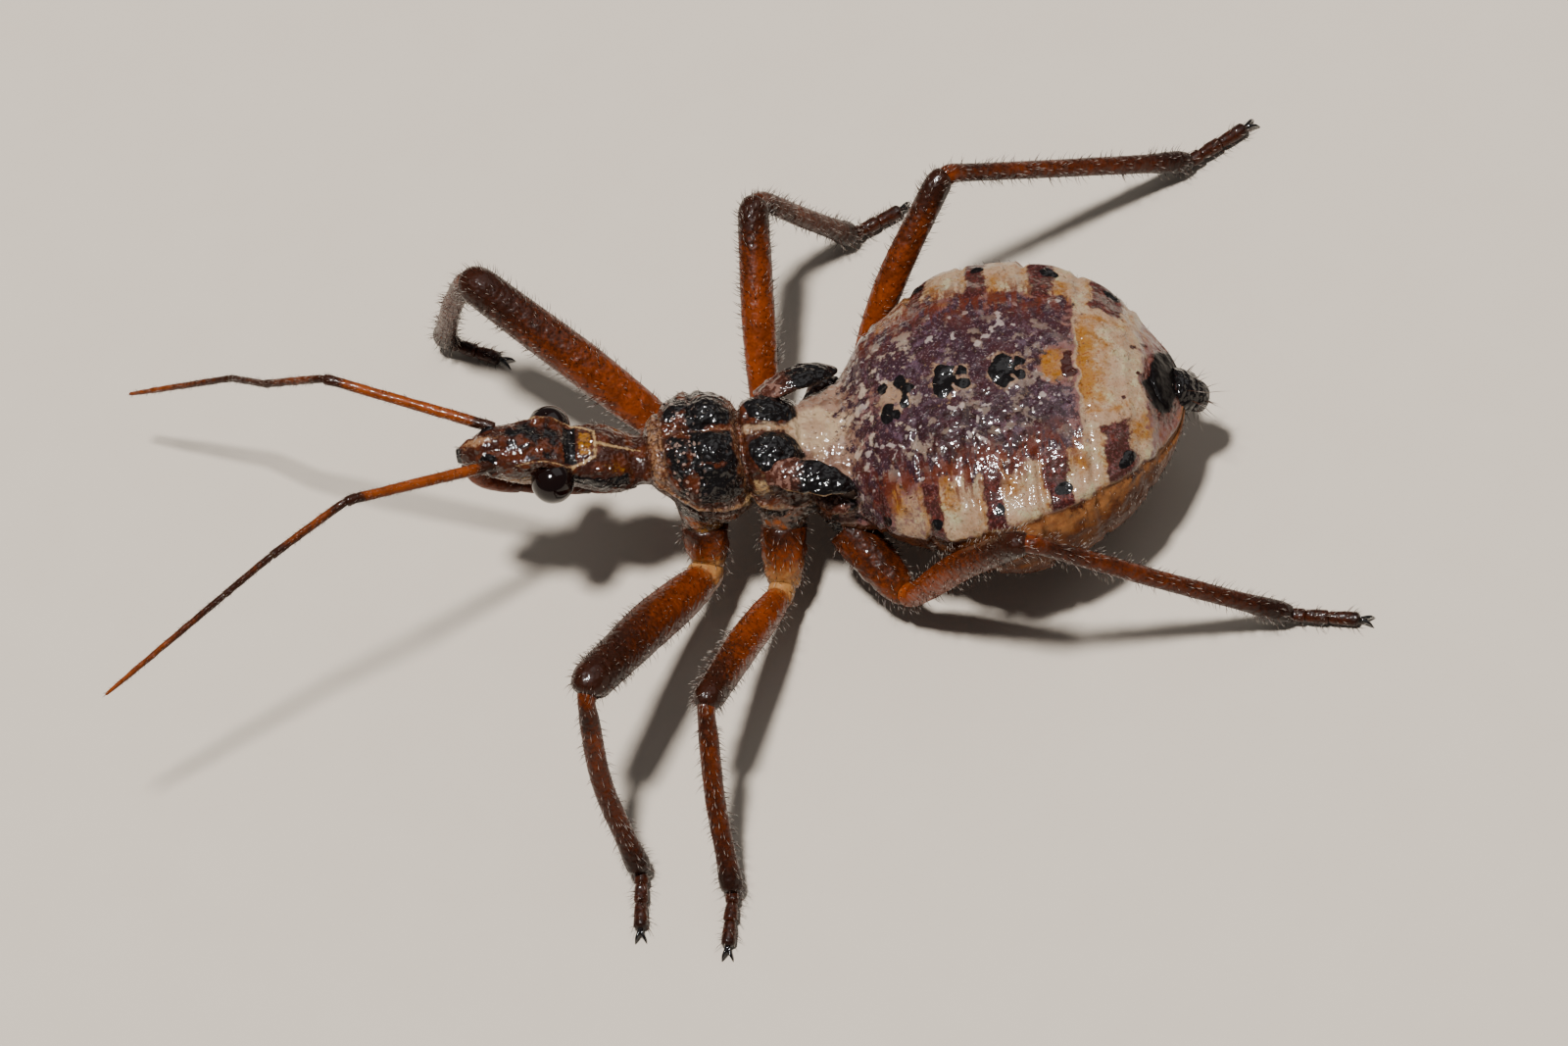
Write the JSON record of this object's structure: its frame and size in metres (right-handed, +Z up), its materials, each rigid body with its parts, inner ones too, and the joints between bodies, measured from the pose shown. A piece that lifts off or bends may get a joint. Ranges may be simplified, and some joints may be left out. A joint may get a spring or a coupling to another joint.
{
  "type": "assassin bug nymph",
  "caption": "Wingless young assassin bug with a swollen abdomen, standing still on six bent legs with its feelers held out ahead.",
  "frame": {"origin": "on the floor, under the middle of the model's outline", "axes": "+X towards the head, +Y to the bug's left, +Z up"},
  "size_m": [0.0234, 0.0162, 0.0063],
  "materials": {
    "body_cuticle": "glossy brown and black cuticle with cream lines",
    "abdomen_skin": "taut glossy skin mottled plum, cream and orange",
    "leg_cuticle": "glossy orange-brown cuticle, dark at the joints",
    "feeler_cuticle": "orange-brown to dark brown cuticle",
    "black_cuticle": "polished black cuticle",
    "eye": "very glossy red-black facets"
  },
  "bodies": {
    "root": {"abdomen": "abdomen_skin", "antenna_left_flagellum": "feeler_cuticle", "antenna_left_pedicel": "feeler_cuticle", "antenna_left_scape": "feeler_cuticle", "antenna_left_tip": "feeler_cuticle", "antenna_right_flagellum": "feeler_cuticle", "antenna_right_pedicel": "feeler_cuticle", "antenna_right_scape": "feeler_cuticle", "antenna_right_tip": "feeler_cuticle", "beak": "leg_cuticle", "eye_left": "eye", "eye_right": "eye", "fore_wing_pad_left": "black_cuticle", "fore_wing_pad_right": "black_cuticle", "front_leg_left_coxa": "leg_cuticle", "front_leg_left_femur": "leg_cuticle", "front_leg_left_tarsus": "leg_cuticle", "front_leg_left_tibia": "leg_cuticle", "front_leg_right_coxa": "leg_cuticle", "front_leg_right_femur": "leg_cuticle", "front_leg_right_tarsus": "leg_cuticle", "front_leg_right_tibia": "leg_cuticle", "head": "body_cuticle", "hind_leg_left_coxa": "leg_cuticle", "hind_leg_left_femur": "leg_cuticle", "hind_leg_left_tarsus": "leg_cuticle", "hind_leg_left_tibia": "leg_cuticle", "hind_leg_right_coxa": "leg_cuticle", "hind_leg_right_femur": "leg_cuticle", "hind_leg_right_tarsus": "leg_cuticle", "hind_leg_right_tibia": "leg_cuticle", "hind_wing_pad_left": "black_cuticle", "hind_wing_pad_right": "black_cuticle", "mesothorax": "body_cuticle", "metathorax": "body_cuticle", "middle_leg_left_coxa": "leg_cuticle", "middle_leg_left_femur": "leg_cuticle", "middle_leg_left_tarsus": "leg_cuticle", "middle_leg_left_tibia": "leg_cuticle", "middle_leg_right_coxa": "leg_cuticle", "middle_leg_right_femur": "leg_cuticle", "middle_leg_right_tarsus": "leg_cuticle", "middle_leg_right_tibia": "leg_cuticle", "prothorax": "body_cuticle", "tail_ring": "black_cuticle"}
  },
  "joints": []
}
